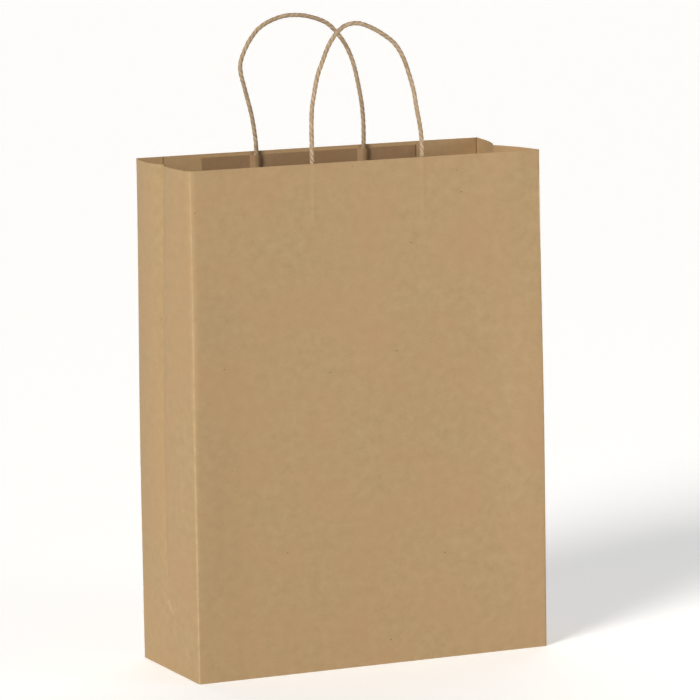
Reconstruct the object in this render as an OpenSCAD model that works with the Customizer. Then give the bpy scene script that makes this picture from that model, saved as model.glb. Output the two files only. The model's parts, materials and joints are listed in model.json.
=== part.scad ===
// Paper carrier bag with two twisted paper cord handles.
// X runs across the width, Y through the depth with the front at -Y, and Z is up.
// The origin is the centre of the base, on the surface that the bag stands on.

/* [Body] */
// Width of the front and back panels
bag_w = 260; // [240:10:360]
// Depth of the side gussets
bag_d = 100; // [80:5:120]
// Height from the base to the cut top edge
bag_h = 350; // [250:10:450]
// Thickness of the kraft sheet
paper_t = 0.2; // [0.14:0.02:0.3]

/* [Base and seam] */
// How far the front and back base flaps lap over each other past the middle
base_lap = 15; // [5:1:20]
// Width of the glued seam along the back left edge
seam_w = 20; // [10:1:25]

/* [Handles] */
// Diameter of the twisted paper cord
cord_d = 3.2; // [2.4:0.2:3.6]
// Height of the paper cord held inside the front patch
front_grip = 39; // [25:1:39]
// Height of the paper cord held inside the back patch
back_grip = 30; // [25:1:39]
// Width of each reinforcing patch
patch_w = 164; // [120:2:170]
// Height of each reinforcing patch
patch_h = 45; // [40:1:60]
// Thickness of the patch paper
patch_t = 0.15; // [0.1:0.01:0.2]

/* [Hidden] */

kraft_colour = "#b5986d";
side_colour = "#bb9c6e";
base_colour = "#a98c62";
patch_colour = "#8f6e4b";
cord_colour = "#b48d5a";
glue_colour = "#e6dcc2";

// Inner faces of the body, and the glue film between two layers
half_w = bag_w / 2 - paper_t;
half_d = bag_d / 2 - paper_t;
glue_t = 0.05;

// The base layers, counted up from the surface: each is one sheet thick
base_flap = bag_d / 2 + base_lap;
front_flap_layer = 0;
front_tuck_layer = 1;
back_flap_layer = 2;
back_tuck_layer = 3;
side_flap_layer = 4;
base_top = (side_flap_layer + 1) * paper_t;

// The patches lie this far below the top edge, and rise over each cord in a soft hump
patch_drop = 2.5;
patch_top = bag_h - patch_drop;
hump_reach = 6;
hump_step = 1;

// Each handle's cord lies against its outer patch, and swings about an axis just above the edge
cord_r = cord_d / 2;
leg_x = 41;
cord_y = half_d - glue_t - patch_t - cord_r;
hinge_gap = 0.4;
hinge_z = bag_h + cord_r + hinge_gap;

// Routes of the two loops, as [x, lean towards the middle of the bag, height above the hinge axis]
front_route = [
    [-41, 0, 0], [-41, 0, 11], [-41, 0, 23], [-40, 1, 35], [-38, 1, 46], [-35, 2, 57], [-31, 2, 67],
    [-26, 3, 77], [-20, 3, 85], [-13, 3, 90], [-4, 3, 91], [5, 3, 88], [14, 3, 83], [23, 3, 76],
    [29, 2, 66], [33, 2, 55], [36, 1, 43], [38, 1, 31], [40, 0, 18], [41, 0, 8], [41, 0, 0]
];
back_route = [
    [-41, 0, 0], [-42, 0, 11], [-44, 0, 23], [-47, 0, 35], [-50, 1, 45], [-52, 1, 53], [-52, 1, 60],
    [-49, 1, 68], [-45, 1, 75], [-38, 1, 83], [-29, 1, 88], [-18, 1, 91], [-7, 1, 91], [3, 1, 89],
    [13, 1, 85], [20, 1, 79], [27, 1, 70], [32, 1, 60], [35, 1, 50], [38, 0, 38], [40, 0, 26],
    [41, 0, 13], [41, 0, 0]
];
cord_sides = 8;
end_angles = [30, 60];

// Paper sheets of the body

module upright_panel(low_y) {
    translate([-bag_w / 2, low_y, 0])
        cube([bag_w, paper_t, bag_h]);
}

module gusset_half(low_x, low_y) {
    translate([low_x, low_y, 0])
        cube([paper_t, half_d, bag_h]);
}

module front_panel() {
    color(kraft_colour) upright_panel(-bag_d / 2);
}

module back_panel() {
    color(kraft_colour) upright_panel(half_d);
}

module left_gusset_front() {
    color(side_colour) gusset_half(-bag_w / 2, -half_d);
}

module left_gusset_back() {
    color(side_colour) gusset_half(-bag_w / 2, 0);
}

module right_gusset_front() {
    color(side_colour) gusset_half(half_w, -half_d);
}

module right_gusset_back() {
    color(side_colour) gusset_half(half_w, 0);
}

// The seam, where one edge of the sheet is glued inside the back panel

module seam_glue() {
    color(glue_colour)
        translate([-half_w, half_d - glue_t, base_top])
            cube([seam_w, glue_t, bag_h - base_top]);
}

module seam_flap() {
    color(kraft_colour)
        translate([-half_w, half_d - glue_t - paper_t, base_top])
            cube([seam_w, paper_t, bag_h - base_top]);
}

// The folded base

module base_sheet(layer) {
    translate([0, 0, layer * paper_t])
        linear_extrude(height = paper_t)
            children();
}

// A flap folded in from the front, narrowing at 45 degrees to its free edge
module long_flap() {
    polygon([
        [-half_w, -half_d],
        [half_w, -half_d],
        [half_w - base_flap, base_flap - half_d],
        [base_flap - half_w, base_flap - half_d]
    ]);
}

// The corner that folds under the end of a long flap
module corner_tuck() {
    polygon([
        [-half_w, -half_d],
        [base_flap - half_w, -half_d],
        [base_flap - half_w, base_flap - half_d]
    ]);
}

module corner_tuck_pair() {
    corner_tuck();
    mirror([1, 0]) corner_tuck();
}

module side_flap() {
    translate([-half_w, -half_d])
        square([base_flap, 2 * half_d]);
}

module bottom_front_flap() {
    color(base_colour) base_sheet(front_flap_layer) long_flap();
}

module bottom_back_flap() {
    color(base_colour) base_sheet(back_flap_layer) mirror([0, 1]) long_flap();
}

module bottom_left_flap() {
    color(base_colour) base_sheet(side_flap_layer) side_flap();
}

module bottom_right_flap() {
    color(base_colour) base_sheet(side_flap_layer) mirror([1, 0]) side_flap();
}

module bottom_front_tucks() {
    color(base_colour) base_sheet(front_tuck_layer) corner_tuck_pair();
}

module bottom_back_tucks() {
    color(base_colour) base_sheet(back_tuck_layer) mirror([0, 1]) corner_tuck_pair();
}

// The band of paste where the two long flaps lap over each other, between the corner tucks
module bottom_paste() {
    paste_w = 2 * (half_w - base_flap);
    paste_d = 2 * (base_flap - half_d);
    color(glue_colour)
        base_sheet(front_tuck_layer)
            square([paste_w, paste_d], center = true);
}

// Handle patches, drawn for the front panel and mirrored for the back one.
// patch_layer() stands a plan shape up behind the front panel, with its Y measured inwards
// from the inner face of that panel.

outer_patch_y = glue_t;
inner_film_y = outer_patch_y + patch_t;
gap_w = 2 * (leg_x - hump_reach);
edge_strip_w = patch_w / 2 - leg_x - hump_reach;

module patch_layer() {
    translate([0, -half_d, patch_top - patch_h])
        linear_extrude(height = patch_h)
            children();
}

function hump_height(u) = glue_t + cord_d * pow(cos(90 * u / hump_reach), 2);

function patch_profile(lift) = concat(
    [[-patch_w / 2, glue_t + lift]],
    [for (leg = [-leg_x, leg_x]) for (u = [-hump_reach : hump_step : hump_reach])
        [leg + u, hump_height(u) + lift]],
    [[patch_w / 2, glue_t + lift]]
);

function reversed(points) = [for (i = [len(points) - 1 : -1 : 0]) points[i]];

module outer_patch() {
    color(patch_colour)
        patch_layer()
            translate([-patch_w / 2, outer_patch_y])
                square([patch_w, patch_t]);
}

module inner_patch() {
    color(patch_colour)
        patch_layer()
            translate([0, inner_film_y])
                polygon(concat(patch_profile(0), reversed(patch_profile(patch_t))));
}

// One film holds the outer patch to the panel, and strips of film hold the inner patch to it
module patch_glue() {
    color(glue_colour)
        patch_layer() {
            translate([-patch_w / 2, 0])
                square([patch_w, glue_t]);
            translate([-gap_w / 2, inner_film_y])
                square([gap_w, glue_t]);
            for (low_x = [-patch_w / 2, patch_w / 2 - edge_strip_w])
                translate([low_x, inner_film_y])
                    square([edge_strip_w, glue_t]);
        }
}

// The two ends of a handle's cord, held between its patches
module cord_ends(grip) {
    color(cord_colour)
        for (x = [-leg_x, leg_x])
            translate([x, -cord_y, bag_h - grip])
                cylinder(r = cord_r, h = grip, $fn = 32);
}

module to_back() {
    mirror([0, 1, 0]) children();
}

module front_outer_patch() {
    outer_patch();
}

module front_inner_patch() {
    inner_patch();
}

module front_patch_glue() {
    patch_glue();
}

module front_cord_ends() {
    cord_ends(front_grip);
}

module back_outer_patch() {
    to_back() outer_patch();
}

module back_inner_patch() {
    to_back() inner_patch();
}

module back_patch_glue() {
    to_back() patch_glue();
}

module back_cord_ends() {
    to_back() cord_ends(back_grip);
}

// Handle loops: one round tube swept along each route, with a rounded end on each hinge point

function unit(v) = v / norm(v);

function route_direction(points, i) =
    unit(points[min(i + 1, len(points) - 1)] - points[max(i - 1, 0)]);

// A ring of points around a centre, square to the given direction. No route runs along Y.
function ring(centre, direction, radius) =
    let (side = unit(cross(direction, [0, 1, 0])), other = cross(direction, side))
    [for (k = [0 : cord_sides - 1])
        centre + radius * (cos(360 * k / cord_sides) * side + sin(360 * k / cord_sides) * other)];

function end_ring(centre, outward, direction, angle) =
    ring(centre + outward * cord_r * cos(angle), direction, cord_r * sin(angle));

function tube_rings(points) =
    let (
        last = len(points) - 1,
        first_way = route_direction(points, 0),
        last_way = route_direction(points, last)
    )
    concat(
        [for (angle = end_angles) end_ring(points[0], -first_way, first_way, angle)],
        [for (i = [0 : last]) ring(points[i], route_direction(points, i), cord_r)],
        [for (angle = reversed(end_angles)) end_ring(points[last], last_way, last_way, angle)]
    );

module cord_tube(points) {
    rings = tube_rings(points);
    top = len(rings) - 1;
    corners = [for (r = rings) for (corner = r) corner];
    walls = [for (i = [0 : top - 1]) for (k = [0 : cord_sides - 1])
        let (
            a = i * cord_sides + k,
            b = i * cord_sides + (k + 1) % cord_sides
        )
        each [[a, b, b + cord_sides], [a, b + cord_sides, a + cord_sides]]];
    first_cap = [for (k = [cord_sides - 1 : -1 : 0]) k];
    last_cap = [for (k = [0 : cord_sides - 1]) top * cord_sides + k];
    polyhedron(points = corners, faces = concat([first_cap], walls, [last_cap]));
}

// A loop drawn over the front panel, with its lean towards the middle of the bag
module handle_loop(route) {
    color(cord_colour)
        cord_tube([for (p = route) [p[0], p[1] - cord_y, p[2] + hinge_z]]);
}

module front_handle_cord() {
    handle_loop(front_route);
}

module back_handle_cord() {
    to_back() handle_loop(back_route);
}

front_panel();
back_panel();
left_gusset_front();
left_gusset_back();
right_gusset_front();
right_gusset_back();
seam_flap();
seam_glue();
bottom_front_flap();
bottom_back_flap();
bottom_left_flap();
bottom_right_flap();
bottom_front_tucks();
bottom_back_tucks();
bottom_paste();
front_outer_patch();
front_inner_patch();
front_patch_glue();
front_cord_ends();
back_outer_patch();
back_inner_patch();
back_patch_glue();
back_cord_ends();
front_handle_cord();
back_handle_cord();
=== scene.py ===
"""Kraft paper carrier bag with two twisted paper cord handles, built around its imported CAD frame.

Lengths in the working tables are millimetres, and MM turns them to metres. X runs across the
width, Y from the front panel to the back panel, and Z is up from the surface the bag stands on.
"""

import json
import math

import bmesh
import bpy
from mathutils import Matrix, Vector, noise


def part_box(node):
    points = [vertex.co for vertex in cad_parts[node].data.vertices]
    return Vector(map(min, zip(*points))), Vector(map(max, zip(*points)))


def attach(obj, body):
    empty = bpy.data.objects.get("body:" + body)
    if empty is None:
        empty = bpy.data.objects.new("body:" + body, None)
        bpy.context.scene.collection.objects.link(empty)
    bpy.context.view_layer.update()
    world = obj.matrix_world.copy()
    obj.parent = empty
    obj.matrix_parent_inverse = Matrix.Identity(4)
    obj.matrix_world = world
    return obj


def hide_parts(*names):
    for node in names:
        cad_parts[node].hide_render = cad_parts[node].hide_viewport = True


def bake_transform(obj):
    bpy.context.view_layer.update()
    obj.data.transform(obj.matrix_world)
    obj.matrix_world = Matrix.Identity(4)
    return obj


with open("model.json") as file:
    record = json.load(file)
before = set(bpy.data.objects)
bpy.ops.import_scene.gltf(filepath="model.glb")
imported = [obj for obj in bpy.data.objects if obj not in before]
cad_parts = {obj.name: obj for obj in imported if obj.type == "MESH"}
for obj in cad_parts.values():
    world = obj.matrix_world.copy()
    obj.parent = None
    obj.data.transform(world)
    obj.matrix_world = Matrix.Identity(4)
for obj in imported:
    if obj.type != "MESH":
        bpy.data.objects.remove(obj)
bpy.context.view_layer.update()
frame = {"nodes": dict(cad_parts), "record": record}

MM = 0.001

# Sizes that the frame gives
FRONT_LOW, FRONT_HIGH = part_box("front_panel")
PATCH_LOW, PATCH_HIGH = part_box("front_inner_patch")
HALF_W = FRONT_HIGH[0]
HALF_D = -FRONT_LOW[1]
RIM_Z = FRONT_HIGH[2]
PAPER = FRONT_HIGH[1] - FRONT_LOW[1]
PATCH_HALF_W = PATCH_HIGH[0]
PATCH_BOTTOM = PATCH_LOW[2]
PATCH_TOP = PATCH_HIGH[2]
BASE_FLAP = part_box("bottom_front_flap")[1][1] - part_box("bottom_front_flap")[0][1]
SEAM_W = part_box("seam_flap")[1][0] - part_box("seam_flap")[0][0]
CORD_R = (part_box("front_cord_ends")[1][1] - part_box("front_cord_ends")[0][1]) / 2
JOINTS = {joint["name"]: joint for joint in frame["record"]["behaviour"]["joints"]}
HINGE_Z = JOINTS["front_handle_swing"]["pos_m"][2]
CORD_Y = JOINTS["back_handle_swing"]["pos_m"][1]
LEG_X = 41 * MM
PATCH_T = 0.15 * MM
GLUE_T = 0.05 * MM


# ---------------------------------------------------------------- small helpers

def soft_step(low, high, value):
    """0 below low, 1 above high, and smooth between them."""
    t = min(max((value - low) / (high - low), 0.0), 1.0)
    return t * t * (3 - 2 * t)


def window(low, high, ramp, value):
    """1 between low and high, with smooth shoulders of width ramp inside them."""
    return soft_step(low, low + ramp, value) * (1 - soft_step(high - ramp, high, value))


def bell(width, value):
    """A smooth bump of height 1 at 0."""
    return math.exp(-(value / width) ** 2)


def between(start, end, steps):
    """Positions from start to end, closer together near both ends, where folds need them."""
    return [start + (end - start) * (1 - math.cos(math.pi * i / steps)) / 2 for i in range(steps + 1)]


def chained(stops, steps):
    """Positions through all the stops, each stretch spaced by between()."""
    found = [stops[0]]
    for start, end, count in zip(stops, stops[1:], steps):
        found += between(start, end, count)[1:]
    return found


def link(name, bm):
    """Make an object of a bmesh, with smooth faces."""
    mesh = bpy.data.meshes.new(name)
    for face in bm.faces:
        face.smooth = True
    bm.to_mesh(mesh)
    bm.free()
    piece = bpy.data.objects.new(name, mesh)
    bpy.context.scene.collection.objects.link(piece)
    return piece


def placed_grid(across, up, place, flat=None, wear_and_groove_shade=None):
    """A grid with one column for each value in across and one row for each in up.

    place(a, u) gives each corner's point. flat(a, u) is its place on the unfolded paper, in metres,
    for the UV map "paper", or else (a, u) is. wear_and_groove_shade(a, u) fills the attribute of that name:
    on a sheet how rubbed the paper is there, on a cord how deep its groove is, which the cord's material
    paints as shade.
    """
    bm = bmesh.new()
    columns, rows = len(across) - 1, len(up) - 1
    bmesh.ops.create_grid(bm, x_segments=columns, y_segments=rows, size=1)
    uv = bm.loops.layers.uv.new("paper")
    # On a cord this layer holds its groove depth, which the cord's material paints as shade.
    wear_and_groove_shade_level = bm.verts.layers.float.new("wear_and_groove_shade")
    cells = {}
    for vert in bm.verts:
        i = round((vert.co.x + 1) / 2 * columns)
        j = round((vert.co.y + 1) / 2 * rows)
        cells[vert] = (across[i], up[j])
        vert[wear_and_groove_shade_level] = wear_and_groove_shade(across[i], up[j]) if wear_and_groove_shade else 0.0
    for face in bm.faces:
        for loop in face.loops:
            loop[uv].uv = flat(*cells[loop.vert]) if flat else cells[loop.vert]
    for vert, cell in cells.items():
        vert.co = place(*cell)
    return bm


def thicken(piece, thickness):
    """Give a sheet its thickness, behind the side that its faces point to. Its back takes the next
    material, where the piece has a second one."""
    wall = piece.modifiers.new("sheet thickness", "SOLIDIFY")
    wall.thickness = thickness
    wall.offset = -1
    wall.material_offset = 1
    return piece


# ---------------------------------------------------------------- camera

VIEW_AIM = Vector((7.6, 2.6, 212.5)) * MM
VIEW_AZIMUTH = math.radians(-24.18)
VIEW_ELEVATION = math.radians(8.39)
VIEW_ROLL = math.radians(-0.91)
VIEW_DISTANCE = 3.218
VIEW_LENS = 238.4


def add_camera():
    data = bpy.data.cameras.new("camera")
    data.lens = VIEW_LENS
    data.sensor_width = 36
    data.clip_end = 50
    camera = bpy.data.objects.new("camera", data)
    bpy.context.scene.collection.objects.link(camera)
    back = Vector((
        math.sin(VIEW_AZIMUTH) * math.cos(VIEW_ELEVATION),
        -math.cos(VIEW_AZIMUTH) * math.cos(VIEW_ELEVATION),
        math.sin(VIEW_ELEVATION),
    ))
    turn = back.to_track_quat("Z", "Y").to_matrix().to_4x4()
    place = Matrix.Translation(VIEW_AIM + back * VIEW_DISTANCE)
    camera.matrix_world = place @ turn @ Matrix.Rotation(VIEW_ROLL, 4, "Z")
    bpy.context.scene.camera = camera


add_camera()


# ---------------------------------------------------------------- twisted paper cords

# Routes of the loops: x, lean towards the middle of the bag, height above the hinge axis (mm).
# The first and last points are the ends held between the patches.
FRONT_ROUTE = [
    (-41, 0, -41), (-41, 0, -20),
    (-41, 0, 0), (-41, 0, 11), (-41, 0, 23), (-40, 1, 35), (-38, 1, 46), (-35, 2, 57), (-31, 2, 67),
    (-26, 3, 77), (-20, 3, 85), (-13, 3, 90), (-4, 3, 91), (5, 3, 88), (14, 3, 83), (23, 3, 76),
    (29, 2, 66), (33, 2, 55), (36, 1, 43), (38, 1, 31), (40, 0, 18), (41, 0, 8), (41, 0, 0),
    (41, 0, -20), (41, 0, -41),
]
BACK_ROUTE = [
    (-41, 0, -32), (-41, 0, -16),
    (-41, 0, 0), (-42, 0, 11), (-44, 0, 23), (-47, 0, 35), (-50, 1, 45), (-52, 1, 53), (-52, 1, 60),
    (-49, 1, 68), (-45, 1, 75), (-38, 1, 83), (-29, 1, 88), (-18, 1, 91), (-7, 1, 91), (3, 1, 89),
    (13, 1, 85), (20, 1, 79), (27, 1, 70), (32, 1, 60), (35, 1, 50), (38, 0, 38), (40, 0, 26),
    (41, 0, 13), (41, 0, 0),
    (41, 0, -16), (41, 0, -32),
]
RING_SPACING = 0.8 * MM
CORD_COLUMNS = 24
TWIST_LEAD = 13 * MM     # length of one full turn of the twist
TWIST_FOLDS = 3          # grooves seen side by side round the cord
GROOVE_DEPTH = 0.16      # share of the radius
GROOVE_SHARPNESS = 4     # how narrow the grooves are beside the ridges
TWIST_WANDER = 1.6       # radians that the twist strays from even
WANDER_SPAN = 17 * MM    # length over which it strays
MEAN_RADIUS = 0.97       # share of the cord's radius, before grooves and swell
SWELL = 0.05             # share of the radius
SWELL_SPAN = 7 * MM
DENT = 0.05              # share of the radius
DENT_SPAN = 2.2 * MM
DENTS_ROUND = 3          # scale of the dents round the cord


def smooth_path(points, spacing):
    """Points about spacing apart on a smooth curve through the route's own points."""
    path = []
    last = len(points) - 1
    for i in range(last):
        before = points[max(i - 1, 0)]
        start, end = points[i], points[i + 1]
        after = points[min(i + 2, last)]
        steps = max(2, round((end - start).length / spacing))
        for k in range(steps):
            t = k / steps
            path.append(0.5 * (
                2 * start + (end - before) * t
                + (2 * before - 5 * start + 4 * end - after) * t ** 2
                + (3 * start - before - 3 * end + after) * t ** 3
            ))
    path.append(points[last])
    return path


def groove_share(angle, along, seed):
    """1 at the bottom of a groove and 0 on the ridges, along folds that wind round the cord."""
    phase = TWIST_FOLDS * (angle + 2 * math.pi * along / TWIST_LEAD)
    wander = TWIST_WANDER * noise.noise(Vector((along / WANDER_SPAN, seed, 0)))
    return (0.5 + 0.5 * math.cos(phase + wander)) ** GROOVE_SHARPNESS


def cord_radius(angle, along, seed):
    """A strip of paper twisted into a cord: spiral grooves, uneven swell and small dents."""
    groove = groove_share(angle, along, seed)
    swell = SWELL * noise.noise(Vector((along / SWELL_SPAN, seed, 5)))
    around = DENTS_ROUND * Vector((math.cos(angle), math.sin(angle), 0))
    dent = DENT * noise.noise(around + Vector((0, 0, along / DENT_SPAN)))
    return CORD_R * (MEAN_RADIUS - GROOVE_DEPTH * groove + swell + dent)


def twisted_cord(name, route, side, seed):
    points = [Vector((x * MM, side * (CORD_Y - lean * MM), HINGE_Z + up * MM)) for x, lean, up in route]
    path = smooth_path(points, RING_SPACING)
    travelled = [0.0]
    for start, end in zip(path, path[1:]):
        travelled.append(travelled[-1] + (end - start).length)
    last = len(path) - 1

    def place(turn, ring):
        way = (path[min(ring + 1, last)] - path[max(ring - 1, 0)]).normalized()
        out = way.cross(Vector((0, 1, 0))).normalized()
        other = way.cross(out)
        angle = 2 * math.pi * turn
        radius = cord_radius(angle, travelled[ring], seed)
        return path[ring] + radius * (math.cos(angle) * out + math.sin(angle) * other)

    def flat(turn, ring):
        return turn, travelled[ring]

    # The groove depth goes to the cord's attribute, where its material paints it as shade.
    def groove(turn, ring):
        return groove_share(2 * math.pi * turn, travelled[ring], seed)

    turns = [i / CORD_COLUMNS for i in range(CORD_COLUMNS + 1)]
    bm = placed_grid(turns, list(range(last + 1)), place, flat, groove)
    bmesh.ops.remove_doubles(bm, verts=bm.verts[:], dist=0.001 * MM)
    bmesh.ops.holes_fill(bm, edges=[edge for edge in bm.edges if edge.is_boundary])
    bmesh.ops.recalc_face_normals(bm, faces=bm.faces[:])
    cord = link(name, bm)
    handle = "front_handle" if side < 0 else "back_handle"
    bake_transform(cord)
    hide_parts(handle + "_cord", handle.replace("handle", "cord_ends"))
    return cord


front_cord = twisted_cord("front_handle_paper_cord", FRONT_ROUTE, -1, 3.7)
back_cord = twisted_cord("back_handle_paper_cord", BACK_ROUTE, 1, 11.2)


# ---------------------------------------------------------------- shape of the folded sheet

# Every function here takes heights in metres above the base and gives metres.
APEX = HALF_D                      # the base folds reach this high up each gusset
BASE_HALF_W = HALF_W + 2.0 * MM    # the filled-out base is a little wider than the rim
CURL = 0.6 * MM                    # radius of the bottom fold
CURL_LENGTH = CURL * math.pi / 2
CREASE_R = 1.3 * MM                # how far from a vertical crease the paper starts to turn
LAP = PAPER + GLUE_T               # how far the seam flap lies inside the back panel
GRIPS = {-1: 39 * MM, 1: 30 * MM}  # height of cord held between the patches, front (-1) and back (1)
RIDGE = 0.30 * MM                  # how far a held cord pushes the panel out
WAVE = 1.6 * MM                    # height of a panel's slow waves
FLARE = 2.6 * MM                   # how far the front left corner opens out at the cut edge
LEFT_TUCK = 1.6 * MM               # how far the left crease turns in at the cut edge
LEFT_BULGE = 1.2 * MM              # how far it is pushed back out halfway up
RIGHT_TUCK = 14 * MM               # how far the right crease turns in at the cut edge
LEFT_SHIFT = 3 * MM                # how far behind the middle the left crease lies at the base folds
RIGHT_SHIFT = 4 * MM               # how far before the middle the right crease lies at the cut edge
FOLD_DENT = 0.22 * MM              # depth of the base folds' diagonal creases
HELD_BY_BASE = 2.2 * APEX          # how far up the base keeps the left gusset from bulging fully
FRONT_BOW = -1.5 * MM              # how far the middle of the front panel stands out, so it lies in
BACK_BOW = 1.0 * MM                # how far the middle of the back panel stands out
SIDE_STIFF = 40 * MM               # how far in from its upright creases a panel hardly bows
BASE_STIFF = 70 * MM               # how far up from the base, and down from the patches
CORNER_LIFT = 1.6 * MM             # how far the front's cut edge stands out near the right corner
CORNER_LIFT_X = 112 * MM
CORNER_LIFT_W = 16 * MM
CORNER_LIFT_H = 40 * MM
BASE_CREASE = 0.30 * MM            # depth of the back panel's crease, level with the base folds' top
RIGHT_PULL = 1.0 * MM              # how far the right gusset's tuck draws the panels in
RIGHT_PULL_X = 95 * MM             # where that starts


def towards_rim(z):
    """0 at the top of the base folds and 1 at the cut edge."""
    return min(max((z - APEX) / (RIM_Z - APEX), 0.0), 1.0)


def ridge_over_cord(x, z, grip):
    """The soft line that a glued cord end pushes through the panel."""
    lowest = RIM_Z - grip
    return bell(1.8 * MM, abs(x) - LEG_X) * soft_step(lowest - 4 * MM, lowest + 3 * MM, z)


def ripple(x, z, seed):
    """Slow waves of a hand-opened sheet."""
    return noise.noise(Vector((x / (95 * MM), z / (140 * MM), seed)))


def free_part(x, z):
    """1 where a panel is free to bow, and 0 at its creases, over the base and at the patches."""
    beside = window(-HALF_W, HALF_W, SIDE_STIFF, x)
    return beside * window(0, PATCH_BOTTOM, BASE_STIFF, z)


def right_pull(x, z):
    """How far the tucked right gusset draws the edge of a panel inwards near the cut edge."""
    return RIGHT_PULL * soft_step(RIGHT_PULL_X, HALF_W, x) * towards_rim(z) ** 2


def front_bow(x, z):
    """How far the front panel stands outwards from flat."""
    bow = (FRONT_BOW + WAVE * ripple(x, z, 2.3)) * free_part(x, z)
    bow += RIDGE * ridge_over_cord(x, z, GRIPS[-1])
    lift = bell(CORNER_LIFT_W, x - CORNER_LIFT_X) * soft_step(RIM_Z - CORNER_LIFT_H, RIM_Z, z)
    return bow + CORNER_LIFT * lift - right_pull(x, z)


def back_bow(x, z):
    """How far the back panel stands outwards from flat, with the crease that the base folds up to."""
    bow = (BACK_BOW + WAVE * ripple(x, z, 8.1)) * free_part(x, z)
    bow += RIDGE * ridge_over_cord(x, z, GRIPS[1])
    bow -= BASE_CREASE * bell(1.2 * MM, z - APEX)
    return bow - right_pull(x, z)


def side_spread(z):
    """How far each side of the filled-out lower part stands out past the rim's half width."""
    return (BASE_HALF_W - HALF_W) * (1 - soft_step(0.35 * RIM_Z, RIM_Z, z))


def folds(z):
    """The sheet's corners seen from above at height z, in order round the bag, and how soft each is."""
    up = towards_rim(z)
    left_tuck = LEFT_TUCK * up - LEFT_BULGE * math.sin(math.pi * up)
    right_tuck = RIGHT_TUCK * up
    flare = FLARE * up ** 2
    side = HALF_W + side_spread(z)
    corners = [
        (-side + SEAM_W, HALF_D - LAP, 0),
        (-side, HALF_D - LAP, CREASE_R),
        (-side + left_tuck, LEFT_SHIFT * (1 - up ** 3), CREASE_R),
        (-side - flare, -HALF_D, CREASE_R + 5 * MM * up),
        (side, -HALF_D, CREASE_R),
        (side - right_tuck, -RIGHT_SHIFT * up, CREASE_R + 3 * MM * up),
        (side, HALF_D, CREASE_R),
        (-side + PAPER, HALF_D, 0),
    ]
    return [(Vector((x, y)), softness) for x, y, softness in corners]


SEAM, LEFT_BACK, LEFT_FRONT, FRONT, RIGHT_FRONT, RIGHT_BACK, BACK = range(7)


def fold_line(part, t, v):
    """1 on the diagonal creases where the base folds into a gusset, t across the half and v up it."""
    from_corner = {LEFT_BACK: t, LEFT_FRONT: 1 - t, RIGHT_FRONT: t, RIGHT_BACK: 1 - t}.get(part)
    if from_corner is None or v > APEX:
        return 0.0
    return bell(1.4 * MM, v - from_corner * HALF_D)


# How far each half of a gusset bulges out above the base, and how much more at the cut edge
BULGES = {
    LEFT_BACK: (2.0 * MM, 3.0 * MM),
    LEFT_FRONT: (1.2 * MM, 2.8 * MM),
    RIGHT_FRONT: (0.0, 2.6 * MM),
    RIGHT_BACK: (0.0, 2.7 * MM),
}
# Powers that move a bulge off the middle of its half: under 1 brings it nearer the half's start
BULGE_LEANS = {LEFT_FRONT: 0.6, RIGHT_FRONT: 1.0, RIGHT_BACK: 0.7}
LEFT_BACK_LEAN = 0.75       # the same, counted from the half's end


def across_half(part, t):
    """t across a gusset half, moved so that 0.5 is where its bulge is fullest."""
    if part == LEFT_BACK:
        return 1 - (1 - t) ** LEFT_BACK_LEAN
    return t ** BULGE_LEANS[part]


def stand_out(part, t, v, x, z):
    """How far the sheet stands outwards from the straight line between its folds."""
    if part == FRONT:
        return front_bow(x, z)
    if part in (BACK, SEAM):
        return back_bow(x, z)
    even, rising = BULGES[part]
    bulge = even + rising * towards_rim(z)
    if part in (LEFT_BACK, LEFT_FRONT):
        bulge *= soft_step(0, HELD_BY_BASE, z)
    return bulge * math.sin(math.pi * across_half(part, t)) - FOLD_DENT * fold_line(part, t, v)


def bottom_curl(v):
    """Height and inward shift of the sheet at the distance v up from its bottom fold."""
    if v >= CURL_LENGTH:
        return CURL + v - CURL_LENGTH, 0.0
    turn = v / CURL
    return CURL * (1 - math.cos(turn)), CURL * (1 - math.sin(turn))


def sheet_point(column, v):
    """A point of the sheet's outer face. column is the part between two folds, and t across it."""
    part, t = column
    z, inset = bottom_curl(v)
    corners = folds(z)
    (start, start_soft), (end, end_soft) = corners[part], corners[part + 1]
    reach = end - start
    way = reach.normalized()
    here = start + reach * t
    done, left = t * reach.length, (1 - t) * reach.length
    if part > 0 and done < start_soft:
        here, way = rounded(start, start - corners[part - 1][0], reach, start_soft, done / start_soft)
    elif part < BACK and left < end_soft:
        here, way = rounded(end, reach, corners[part + 2][0] - end, end_soft, -left / end_soft)
    outward = Vector((way.y, -way.x))
    here += outward * (stand_out(part, t, v, here.x, z) - inset)
    return Vector((here.x, here.y, z))


def rounded(corner, coming, going, softness, q):
    """The point and direction on a soft fold, q from -1 where it starts to 1 where it ends."""
    coming, going = coming.normalized(), going.normalized()
    here = corner + softness / 4 * (going * (1 + q) ** 2 - coming * (1 - q) ** 2)
    way = (coming * (1 - q) + going * (1 + q)).normalized()
    return here, way


def part_width(part):
    return {SEAM: SEAM_W, FRONT: 2 * HALF_W, BACK: 2 * HALF_W}.get(part, HALF_D)


def sheet_flat(column, v):
    """A point's place on the unfolded paper, from the seam flap's edge and the bottom fold."""
    part, t = column
    return sum(part_width(before) for before in range(part)) + t * part_width(part), v


GUSSET_FOLDS = (2, 5)       # the creases down the middle of the gussets, counted as in folds()
LAST_EDGE = 7               # the back panel's cut edge, which is no fold
CORNER_WEAR = 0.5
GUSSET_WEAR = 0.28
BASE_CREASE_WEAR = 0.25     # along the back panel's crease, level with the top of the base folds


def fold_wear(fold, v):
    """How rubbed a fold is: the bag's upright corners most, and the gusset creases only above the base."""
    if fold in GUSSET_FOLDS:
        return GUSSET_WEAR * soft_step(APEX, 1.2 * APEX, v)
    return 0.0 if fold == LAST_EDGE else CORNER_WEAR


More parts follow.
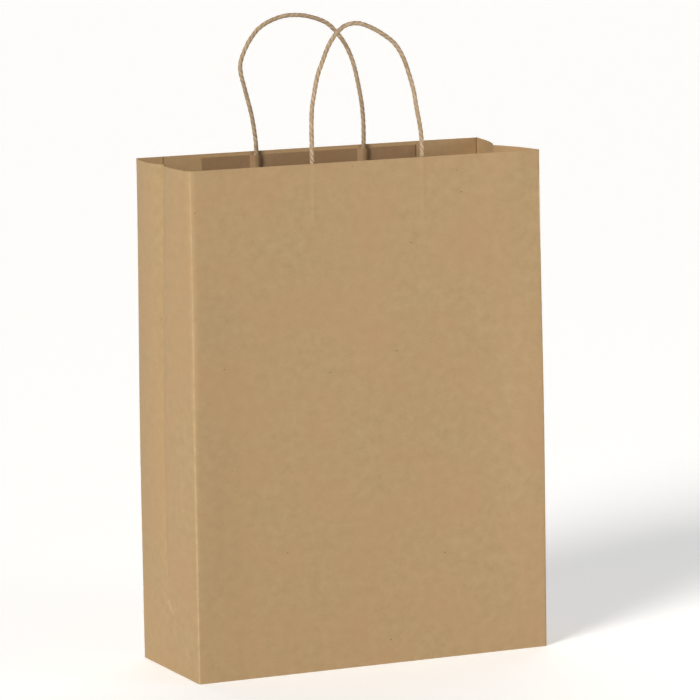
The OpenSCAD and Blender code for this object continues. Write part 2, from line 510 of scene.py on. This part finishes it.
def sheet_wear(column, v):
    """How far the folds have broken the paper's surface, most of all where the base folds meet."""
    part, t = column
    near_start = bell(0.6 * MM, t * part_width(part)) * fold_wear(part, v)
    near_end = bell(0.6 * MM, (1 - t) * part_width(part)) * fold_wear(part + 1, v)
    wear_and_groove_shade_level = max(near_start, near_end, 0.5 * bell(0.9 * MM, v))
    stress = 1.0 if part in (LEFT_FRONT, RIGHT_FRONT) else 0.15
    at_apex = stress * soft_step(0.78 * APEX, 0.95 * APEX, v)
    wear_and_groove_shade_level = max(wear_and_groove_shade_level, (0.1 + 0.9 * at_apex) * fold_line(part, t, v))
    if part in (BACK, SEAM):
        wear_and_groove_shade_level = max(wear_and_groove_shade_level, BASE_CREASE_WEAR * bell(0.8 * MM, v - APEX))
    return wear_and_groove_shade_level


def sheet_columns():
    """The columns of the whole strip, from the seam flap round to the back panel's cut edge."""
    cord_side = (HALF_W - LEG_X) / (2 * HALF_W)
    panel = chained([0, cord_side, 1 - cord_side, 1], [28, 26, 28])
    half_gusset = between(0, 1, 36)
    parts = [
        (SEAM, between(0, 1, 8)), (LEFT_BACK, half_gusset), (LEFT_FRONT, half_gusset), (FRONT, panel),
        (RIGHT_FRONT, half_gusset), (RIGHT_BACK, half_gusset), (BACK, panel),
    ]
    columns = [(SEAM, 0.0)]
    for part, stations in parts:
        columns += [(part, t) for t in stations[1:]]
    return columns


WALL_LENGTH = RIM_Z - CURL + CURL_LENGTH     # from the bottom fold up to the cut edge, along the paper


def sheet_rows():
    return chained([0, APEX, PATCH_BOTTOM, WALL_LENGTH], [40, 50, 24])


def paper_sheet(name, grid, thickness, material_slot, *nodes):
    """Make a sheet of a grid, give it its thickness and let it stand for its CAD nodes."""
    piece = thicken(link(name, grid), thickness)
    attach(piece, "bag")
    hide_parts(*nodes)
    return piece


body = paper_sheet(
    "folded_kraft_sheet",
    placed_grid(sheet_columns(), sheet_rows(), sheet_point, sheet_flat, sheet_wear),
    PAPER, "kraft_sheet",
    "front_panel", "back_panel", "left_gusset_front", "left_gusset_back",
    "right_gusset_front", "right_gusset_back", "seam_flap",
)
FLAT_WIDTH = sheet_flat((BACK, 1.0), 0.0)[0]


# ---------------------------------------------------------------- seam glue

SEAM_START = -HALF_W + CREASE_R
SEAM_END = SEAM_START + SEAM_W - 2 * MM


def seam_film_point(x, z):
    """A point of the dried glue between the seam flap and the back panel, seen from the back."""
    return Vector((x - side_spread(z), HALF_D - PAPER + back_bow(x, z), z))


seam_rows = chained([4 * MM, APEX, RIM_Z - 1 * MM], [40, 60])
seam_film = paper_sheet(
    "seam_glue_film",
    placed_grid(between(SEAM_END, SEAM_START, 8), seam_rows, seam_film_point),
    GLUE_T, "adhesive", "seam_glue",
)


# ---------------------------------------------------------------- folded base

FLAP_REACH = BASE_FLAP + PAPER      # how far a base flap reaches in from the bag's outer face
BASE_LAYERS = {"front_flap": 0, "front_tucks": 1, "back_flap": 2, "back_tucks": 3, "side_flaps": 4}
FREE_EDGE_LIFT = 0.9 * MM           # how far an unglued edge inside the bag springs up


def base_height(layer):
    """Height of a base layer's lower face."""
    return BASE_LAYERS[layer] * PAPER


def long_flap(name, side):
    """The flap from the front (side -1) or the back (side 1), narrowing at 45 degrees."""
    low = base_height("front_flap" if side < 0 else "back_flap")

    def place(share, reach):
        return Vector((share * side * (BASE_HALF_W - reach), side * (HALF_D - reach), low))

    def flat(share, reach):
        return share * (BASE_HALF_W - reach) + BASE_HALF_W, -reach

    grid = placed_grid(between(-1, 1, 40), between(CURL, FLAP_REACH, 16), place, flat)
    return paper_sheet(name + "_sheet", grid, PAPER, "kraft_sheet", name)


def corner_tucks(name, side):
    """The two triangles that fold under the ends of a long flap."""
    low = base_height("front_tucks" if side < 0 else "back_tucks")
    tip = CURL + 0.5 * MM
    both = bmesh.new()
    for end in (-1, 1):

        def place(share, reach):
            inward = CURL + share * (reach - CURL)
            return Vector((end * (BASE_HALF_W - reach), side * (HALF_D - inward), low))

        across, up = between(0, 1, 10), between(tip, FLAP_REACH, 12)
        if end * side > 0:
            across = across[::-1]
        triangle = placed_grid(across, up, place)
        part = bpy.data.meshes.new("triangle")
        triangle.to_mesh(part)
        triangle.free()
        both.from_mesh(part)
        bpy.data.meshes.remove(part)
    return paper_sheet(name + "_sheet", both, PAPER, "kraft_sheet", name)


def side_flap(name, end):
    """The flap that folds in from a gusset and lies over the others, with its free edge a little up."""
    low = base_height("side_flaps")

    def place(y, reach):
        free = soft_step(0.6 * FLAP_REACH, FLAP_REACH, reach)
        lift = FREE_EDGE_LIFT * free * (0.6 + ripple(y * 3, end, 4.4))
        return Vector((end * (BASE_HALF_W - reach), end * y, low + lift))

    def flat(y, reach):
        return y + HALF_D, -reach

    half = HALF_D - CURL
    grid = placed_grid(between(-half, half, 24), between(CURL, FLAP_REACH, 18), place, flat)
    return paper_sheet(name + "_sheet", grid, PAPER, "kraft_sheet", name)


base_sheets = [
    long_flap("bottom_front_flap", -1),
    long_flap("bottom_back_flap", 1),
    corner_tucks("bottom_front_tucks", -1),
    corner_tucks("bottom_back_tucks", 1),
    side_flap("bottom_left_flap", -1),
    side_flap("bottom_right_flap", 1),
]


# ---------------------------------------------------------------- handle patches

HUMP_REACH = 4.4 * MM       # how far beside a cord the inner patch comes back down
HUMP_ROOM = 0.35 * MM       # so that the cord's ridges stay under the patch
COCKLE = 0.12 * MM          # how far the glued patch puckers
OUTER_DEPTH = GLUE_T + PATCH_T
INNER_DEPTH = 2 * OUTER_DEPTH


def hump_over_cord(x, z, side):
    """How far the inner patch rises over the two cord ends, falling away below them."""
    beside = abs(abs(x) - LEG_X)
    if beside > HUMP_REACH:
        return 0.0
    lowest = RIM_Z - GRIPS[side]
    across = (1 - (beside / HUMP_REACH) ** 2.5) ** 1.5
    return (2 * CORD_R + HUMP_ROOM) * across * soft_step(lowest - 4 * MM, lowest, z)


def patch_sheet(name, side, depth, over_cords):
    """A patch glued inside the front (side -1) or back (side 1) panel, depth in from the panel."""
    bow = front_bow if side < 0 else back_bow

    def place(x, z):
        inward = depth
        if over_cords:
            cockle = COCKLE * ripple(3 * x, 3 * z, 6.6 * side)
            inward += hump_over_cord(x, z, side) + max(cockle, 0.0)
        return Vector((x, side * (HALF_D - PAPER + bow(x, z) - inward), z))

    humps = [-LEG_X - HUMP_REACH, -LEG_X + HUMP_REACH, LEG_X - HUMP_REACH, LEG_X + HUMP_REACH]
    across = chained([-PATCH_HALF_W, *humps, PATCH_HALF_W], [12, 30, 20, 30, 12])
    if side < 0:
        across = across[::-1]
    grid = placed_grid(across, between(PATCH_BOTTOM, PATCH_TOP, 26), place)
    return paper_sheet(name + "_sheet", grid, PATCH_T, "patch_paper", name)


patches = [
    patch_sheet("front_outer_patch", -1, OUTER_DEPTH, False),
    patch_sheet("front_inner_patch", -1, INNER_DEPTH, True),
    patch_sheet("back_outer_patch", 1, OUTER_DEPTH, False),
    patch_sheet("back_inner_patch", 1, INNER_DEPTH, True),
]


# ---------------------------------------------------------------- materials

SHARE, FIRST, SECOND, MIXED = 0, 6, 7, 2     # sockets of a Mix node that mixes colours


def srgb(text):
    """Linear colour of an sRGB hex value."""
    values = [int(text[i:i + 2], 16) / 255 for i in (1, 3, 5)]
    linear = [v / 12.92 if v <= 0.04045 else ((v + 0.055) / 1.055) ** 2.4 for v in values]
    return (*linear, 1.0)


def per_mm(size):
    """Scale of a texture with features about size millimetres across, on coordinates in metres."""
    return 1 / (size * MM)


def new_material(name):
    material = bpy.data.materials.new(name)
    material.use_nodes = True
    material.node_tree.nodes.clear()
    return material


def add(owner, kind, inputs=None, **settings):
    """Add a node. inputs gives its sockets values, or other nodes' outputs to link."""
    tree = owner.node_tree
    node = tree.nodes.new(kind)
    for key, value in settings.items():
        setattr(node, key, value)
    for key, value in (inputs or {}).items():
        if isinstance(value, bpy.types.NodeSocket):
            tree.links.new(value, node.inputs[key])
        else:
            node.inputs[key].default_value = value
    return node


def kraft_paper(name, base, pale, dark, warm, broken):
    """Unbleached machine-finished kraft: matte, softly clouded, with short fibres lying every way, rare
    dark shives of bark, and paler lines where a fold has broken the surface."""
    m = new_material(name)
    sheet = add(m, "ShaderNodeUVMap", uv_map="paper").outputs[0]
    clouds = add(m, "ShaderNodeTexNoise", {
        "Vector": sheet, "Scale": per_mm(7), "Detail": 5.0, "Roughness": 0.62,
    })
    drift = add(m, "ShaderNodeTexNoise", {"Vector": sheet, "Scale": per_mm(45), "Detail": 2.0})
    cloud_share = add(m, "ShaderNodeMapRange", {0: clouds.outputs[0], 1: 0.3, 2: 0.7})
    drift_share = add(m, "ShaderNodeMapRange", {0: drift.outputs[0], 1: 0.35, 2: 0.7, 4: 0.55})
    tone = add(m, "ShaderNodeMix", {
        SHARE: cloud_share.outputs[0], FIRST: srgb(dark), SECOND: srgb(pale),
    }, data_type="RGBA")
    tone = add(m, "ShaderNodeMix", {
        SHARE: 0.5, FIRST: tone.outputs[MIXED], SECOND: srgb(base),
    }, data_type="RGBA")
    tone = add(m, "ShaderNodeMix", {
        SHARE: drift_share.outputs[0], FIRST: tone.outputs[MIXED], SECOND: srgb(warm),
    }, data_type="RGBA")

    # Fibres are 0.03 mm wide on the real paper and drawn about ten times coarser, so that they show
    fibres = None
    for degrees in (-52, 8, 63):
        turned = add(m, "ShaderNodeMapping", {
            0: sheet, 2: (0, 0, math.radians(degrees)), 3: (per_mm(4.5), per_mm(0.35), 1),
        })
        strands = add(m, "ShaderNodeTexNoise", {"Vector": turned.outputs[0], "Scale": 1.0, "Detail": 1.0})
        ridge = add(m, "ShaderNodeMapRange", {0: strands.outputs[0], 1: 0.58, 2: 0.72}).outputs[0]
        if fibres:
            ridge = add(m, "ShaderNodeMath", {0: fibres, 1: ridge}, operation="MAXIMUM").outputs[0]
        fibres = ridge
    fibre_share = add(m, "ShaderNodeMath", {0: fibres, 1: 0.30}, operation="MULTIPLY")
    tone = add(m, "ShaderNodeMix", {
        SHARE: fibre_share.outputs[0], FIRST: tone.outputs[MIXED], SECOND: srgb(pale),
    }, data_type="RGBA")

    # Shives: one cell in fourteen holds a dark fleck about 1.4 mm long and half as wide
    stretched = add(m, "ShaderNodeMapping", {0: sheet, 2: (0, 0, math.radians(20)), 3: (0.5, 1, 1)})
    cells = add(m, "ShaderNodeTexVoronoi", {"Vector": stretched.outputs[0], "Scale": per_mm(6.5)})
    fleck = add(m, "ShaderNodeMapRange", {0: cells.outputs[0], 1: 0.035, 2: 0.075, 3: 1.0, 4: 0.0})
    pick = add(m, "ShaderNodeSeparateColor", {0: cells.outputs[1]})
    chosen = add(m, "ShaderNodeMath", {0: pick.outputs[0], 1: 0.07}, operation="LESS_THAN")
    shive = add(m, "ShaderNodeMath", {0: fleck.outputs[0], 1: chosen.outputs[0]}, operation="MULTIPLY")
    shive_share = add(m, "ShaderNodeMath", {0: shive.outputs[0], 1: 0.7}, operation="MULTIPLY")
    tone = add(m, "ShaderNodeMix", {
        SHARE: shive_share.outputs[0], FIRST: tone.outputs[MIXED], SECOND: srgb("#5b4427"),
    }, data_type="RGBA")

    wear_and_groove_shade = add(m, "ShaderNodeAttribute", attribute_name="wear_and_groove_shade").outputs["Fac"]
    patchy = add(m, "ShaderNodeMapRange", {0: clouds.outputs[0], 1: 0.3, 2: 0.6, 3: 0.25, 4: 0.7})
    broken_share = add(m, "ShaderNodeMath", {0: wear_and_groove_shade, 1: patchy.outputs[0]}, operation="MULTIPLY")
    tone = add(m, "ShaderNodeMix", {
        SHARE: broken_share.outputs[0], FIRST: tone.outputs[MIXED], SECOND: srgb(broken),
    }, data_type="RGBA")

    rough = add(m, "ShaderNodeMapRange", {0: clouds.outputs[0], 1: 0.3, 2: 0.7, 3: 0.70, 4: 0.84})
    cockle = add(m, "ShaderNodeTexNoise", {"Vector": sheet, "Scale": per_mm(17), "Detail": 1.0})
    waves = add(m, "ShaderNodeBump", {"Strength": 1.0, "Distance": 0.16 * MM, "Height": cockle.outputs[0]})
    felt = add(m, "ShaderNodeBump", {
        "Strength": 1.0, "Distance": 0.02 * MM, "Height": fibres, "Normal": waves.outputs[0],
    })
    shader = add(m, "ShaderNodeBsdfPrincipled", {
        "Base Color": tone.outputs[MIXED], "Roughness": rough.outputs[0], "Normal": felt.outputs[0],
        "IOR": 1.45, "Specular IOR Level": 0.35,
    })
    add(m, "ShaderNodeOutputMaterial", {"Surface": shader.outputs[0]})
    return m


def twisted_paper(name, base, pale, dark):
    """Kraft twisted hard into cord: creases wind round it in paler and darker streaks, and painted shade
    darkens the grooves between its ridges.
    """
    m = new_material(name)
    place = add(m, "ShaderNodeSeparateXYZ", {0: add(m, "ShaderNodeUVMap", uv_map="paper").outputs[0]})
    turns = add(m, "ShaderNodeMath", {
        0: place.outputs[1], 1: 1 / TWIST_LEAD, 2: place.outputs[0],
    }, operation="MULTIPLY_ADD")
    angle = add(m, "ShaderNodeMath", {0: turns.outputs[0], 1: 2 * math.pi}, operation="MULTIPLY").outputs[0]
    across = add(m, "ShaderNodeMath", {0: angle}, operation="COSINE").outputs[0]
    other = add(m, "ShaderNodeMath", {0: angle}, operation="SINE").outputs[0]
    along = add(m, "ShaderNodeMath", {0: place.outputs[1], 1: per_mm(11)}, operation="MULTIPLY").outputs[0]
    winding = add(m, "ShaderNodeCombineXYZ", {0: across, 1: other, 2: along}).outputs[0]
    creases = add(m, "ShaderNodeTexNoise", {
        "Vector": winding, "Scale": 2.6, "Detail": 4.0, "Roughness": 0.6,
    })
    drift = add(m, "ShaderNodeTexNoise", {"Vector": winding, "Scale": 0.5, "Detail": 2.0})
    crease_share = add(m, "ShaderNodeMapRange", {0: creases.outputs[0], 1: 0.32, 2: 0.68})
    drift_share = add(m, "ShaderNodeMapRange", {0: drift.outputs[0], 1: 0.35, 2: 0.65, 4: 0.6})
    tone = add(m, "ShaderNodeMix", {
        SHARE: crease_share.outputs[0], FIRST: srgb(dark), SECOND: srgb(pale),
    }, data_type="RGBA")
    tone = add(m, "ShaderNodeMix", {
        SHARE: drift_share.outputs[0], FIRST: tone.outputs[MIXED], SECOND: srgb(base),
    }, data_type="RGBA")
    # Painted shade: the grooves of the cord's mesh darken its colour towards dark.
    groove = add(m, "ShaderNodeAttribute", attribute_name="wear_and_groove_shade").outputs["Fac"]
    groove_share = add(m, "ShaderNodeMath", {0: groove, 1: 0.65}, operation="MULTIPLY")
    tone = add(m, "ShaderNodeMix", {
        SHARE: groove_share.outputs[0], FIRST: tone.outputs[MIXED], SECOND: srgb(dark),
    }, data_type="RGBA")
    rough = add(m, "ShaderNodeMapRange", {0: creases.outputs[0], 1: 0.3, 2: 0.7, 3: 0.78, 4: 0.62})
    bump = add(m, "ShaderNodeBump", {"Strength": 1.0, "Distance": 0.22 * MM, "Height": creases.outputs[0]})
    shader = add(m, "ShaderNodeBsdfPrincipled", {
        "Base Color": tone.outputs[MIXED], "Roughness": rough.outputs[0], "Normal": bump.outputs[0],
        "IOR": 1.45, "Specular IOR Level": 0.4,
    })
    add(m, "ShaderNodeOutputMaterial", {"Surface": shader.outputs[0]})
    return m


def dried_paste(name, thin, thick):
    """Starch paste dried in a film: slightly glossy, streaked where the roller laid it on."""
    m = new_material(name)
    place = add(m, "ShaderNodeTexCoord").outputs["Object"]
    streaks = add(m, "ShaderNodeMapping", {0: place, 3: (per_mm(14), per_mm(14), per_mm(1.5))})
    film = add(m, "ShaderNodeTexNoise", {"Vector": streaks.outputs[0], "Scale": 1.0, "Detail": 3.0})
    tone = add(m, "ShaderNodeMix", {
        SHARE: film.outputs[0], FIRST: srgb(thin), SECOND: srgb(thick),
    }, data_type="RGBA")
    rough = add(m, "ShaderNodeMapRange", {0: film.outputs[0], 1: 0.3, 2: 0.7, 3: 0.3, 4: 0.55})
    bump = add(m, "ShaderNodeBump", {"Strength": 1.0, "Distance": 0.03 * MM, "Height": film.outputs[0]})
    shader = add(m, "ShaderNodeBsdfPrincipled", {
        "Base Color": tone.outputs[MIXED], "Roughness": rough.outputs[0], "Normal": bump.outputs[0],
        "IOR": 1.5,
    })
    add(m, "ShaderNodeOutputMaterial", {"Surface": shader.outputs[0]})
    return m


def finish_with(material, *pieces):
    for piece in pieces:
        piece.data.materials.clear()
        piece.data.materials.append(material)


def line_with(material, *sheets):
    """Give the backs of sheets their own material."""
    for piece in sheets:
        piece.data.materials.append(material)


bag_kraft = kraft_paper("unbleached kraft paper", base="#9e8560", pale="#aa916d", dark="#917853",
                        warm="#a2825e", broken="#c4ad88")
# The bag's inside is paler than its outside. This is partly the unglazed side's own lighter tone and mostly
# painted light, so that the shaded inside looks as brightly lit as the outside.
inner_kraft_with_painted_light = kraft_paper("unglazed kraft inside, lightened with painted light", base="#b1946c", pale="#bb9f79", dark="#a68963",
                          warm="#b49068", broken="#cab38f")
patch_kraft = kraft_paper("recycled kraft patch paper", base="#977a5a", pale="#a28666", dark="#8a6e50",
                          warm="#967554", broken="#ab9070")
cord_kraft = twisted_paper("twisted kraft cord", base="#a58d71", pale="#d0bb9d", dark="#6f563a")
paste = dried_paste("dried starch paste", thin="#b59d74", thick="#d8cba6")

finish_with(bag_kraft, body, *base_sheets)
# The sheets' backs take the paler inner kraft, which paints light into the bag's inside.
line_with(inner_kraft_with_painted_light, body, *base_sheets)
finish_with(patch_kraft, *patches)
finish_with(cord_kraft, front_cord, back_cord)
finish_with(paste, seam_film)
for name in ("bottom_paste", "front_patch_glue", "back_patch_glue"):
    finish_with(paste, frame["nodes"][name])


# ---------------------------------------------------------------- floor and light

FLOOR_GLOW = 0.27       # light of the floor's own
SKY_OVERHEAD = 0.18     # brightness of the sky overhead, where the horizon has 1
FLOOR_SIZE = 12

def add_area(name, place, aim, size, power, colour):
    data = bpy.data.lights.new(name, "AREA")
    data.shape = "SQUARE"
    data.size = size
    data.energy = power
    data.color = srgb(colour)[:3]
    lamp = bpy.data.objects.new(name, data)
    bpy.context.scene.collection.objects.link(lamp)
    place, aim = Vector(place), Vector(aim)
    turn = (place - aim).to_track_quat("Z", "Y").to_matrix().to_4x4()
    lamp.matrix_world = Matrix.Translation(place) @ turn


def pale_floor():
    """Seamless paper, lit a little from below so that it just reaches white."""
    m = new_material("pale floor")
    shader = add(m, "ShaderNodeBsdfPrincipled", {
        "Base Color": srgb("#f2f2f2"), "Roughness": 0.9,
        "Emission Color": (1, 1, 1, 1), "Emission Strength": FLOOR_GLOW,
    })
    add(m, "ShaderNodeOutputMaterial", {"Surface": shader.outputs[0]})
    return m


def studio_sky():
    """White round the horizon, and dimmer overhead."""
    world = bpy.data.worlds.new("studio")
    world.use_nodes = True
    world.node_tree.nodes.clear()
    way = add(world, "ShaderNodeTexCoord").outputs["Generated"]
    up = add(world, "ShaderNodeSeparateXYZ", {0: way}).outputs[2]
    strength = add(world, "ShaderNodeMapRange", {0: up, 1: 0.06, 2: 0.30, 3: 1.0, 4: SKY_OVERHEAD})
    light = add(world, "ShaderNodeBackground", {0: (1, 1, 1, 1), 1: strength.outputs[0]})
    add(world, "ShaderNodeOutputWorld", {0: light.outputs[0]})
    bpy.context.scene.world = world


def add_sun(name, way, strength, softness, colour):
    """A distant soft lamp that shines from the direction way, so that it lights the floor evenly."""
    data = bpy.data.lights.new(name, "SUN")
    data.energy = strength
    data.angle = math.radians(softness)
    data.color = srgb(colour)[:3]
    lamp = bpy.data.objects.new(name, data)
    bpy.context.scene.collection.objects.link(lamp)
    lamp.matrix_world = Vector(way).to_track_quat("Z", "Y").to_matrix().to_4x4()


bm = bmesh.new()
bmesh.ops.create_grid(bm, x_segments=1, y_segments=1, size=FLOOR_SIZE)
floor = link("floor", bm)
finish_with(pale_floor(), floor)
studio_sky()
bpy.context.scene.view_settings.view_transform = "Standard"
add_sun("left key", (-0.76, -0.47, 0.45), 2.95, 20, "#fffbf4")
add_sun("back light", (0.25, 0.70, 0.67), 0.8, 60, "#ffffff")
add_area("right fill", (0.82, -0.95, 0.42), (0.08, 0, 0.18), 0.45, 3.0, "#ffffff")
